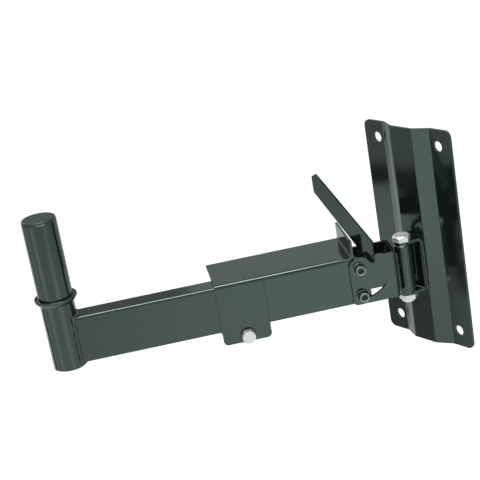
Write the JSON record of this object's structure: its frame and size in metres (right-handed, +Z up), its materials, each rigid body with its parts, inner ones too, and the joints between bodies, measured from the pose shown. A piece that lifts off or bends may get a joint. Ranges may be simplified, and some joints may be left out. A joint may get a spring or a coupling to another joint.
{
  "type": "speaker wall bracket",
  "caption": "Black steel wall bracket with a folded plate, swivel hinge, tilting yoke, sliding arm and an upright round pole that carries a speaker.",
  "frame": {"origin": "centre of the four wall holes, on the plane of the wall", "axes": "+X to the right facing the wall, +Y into the wall, +Z up; at rest the arm is swung 29.9 degrees toward -X and level"},
  "size_m": [0.2586, 0.3563, 0.235],
  "materials": {
    "black_coat": "semi-gloss black coating",
    "zinc": "bright zinc plate",
    "black_oxide": "satin black oxide",
    "black_plastic": "matte black plastic"
  },
  "bodies": {
    "wall": {"wall_plate": "black_coat", "hinge_bracket": "black_coat", "hinge_bolt": "zinc", "hinge_nut": "zinc"},
    "yoke": {"swivel_barrel": "black_coat", "barrel_weld": "black_coat", "hinge_washers": "black_oxide", "swivel_yoke": "black_coat", "tilt_pivot_screw": "black_oxide", "pivot_washers": "black_oxide", "pivot_nut": "black_oxide"},
    "sleeve": {"outer_sleeve": "black_coat", "pivot_spacer": "black_oxide", "lock_spacer": "zinc", "tilt_lock_screw": "black_oxide", "lock_washers": "black_oxide", "lock_nut": "black_oxide", "clamp_bolt": "zinc", "clamp_washers": "zinc", "clamp_nut": "zinc"},
    "arm": {"inner_tube": "black_coat", "tube_end_plug": "black_plastic", "arm_weld": "black_coat", "pole_tube": "black_coat", "pole_collar": "black_coat", "pole_cap": "black_plastic"}
  },
  "joints": [
    {"name": "swivel", "type": "hinge", "parent": "wall", "child": "yoke", "pos_m": [0, -0.027, -0.029], "axis": [0, 0, 1], "range_deg": [-30, 100]},
    {"name": "tilt", "type": "hinge", "parent": "yoke", "child": "sleeve", "pos_m": [-0.02542, -0.07121, -0.0122], "axis": [0.8669, -0.4985, 0], "range_deg": [0, 48]},
    {"name": "extend", "type": "slide", "parent": "sleeve", "child": "arm", "axis": [-0.4985, -0.8669, 0], "range_m": [-0.075, 0.02]}
  ]
}
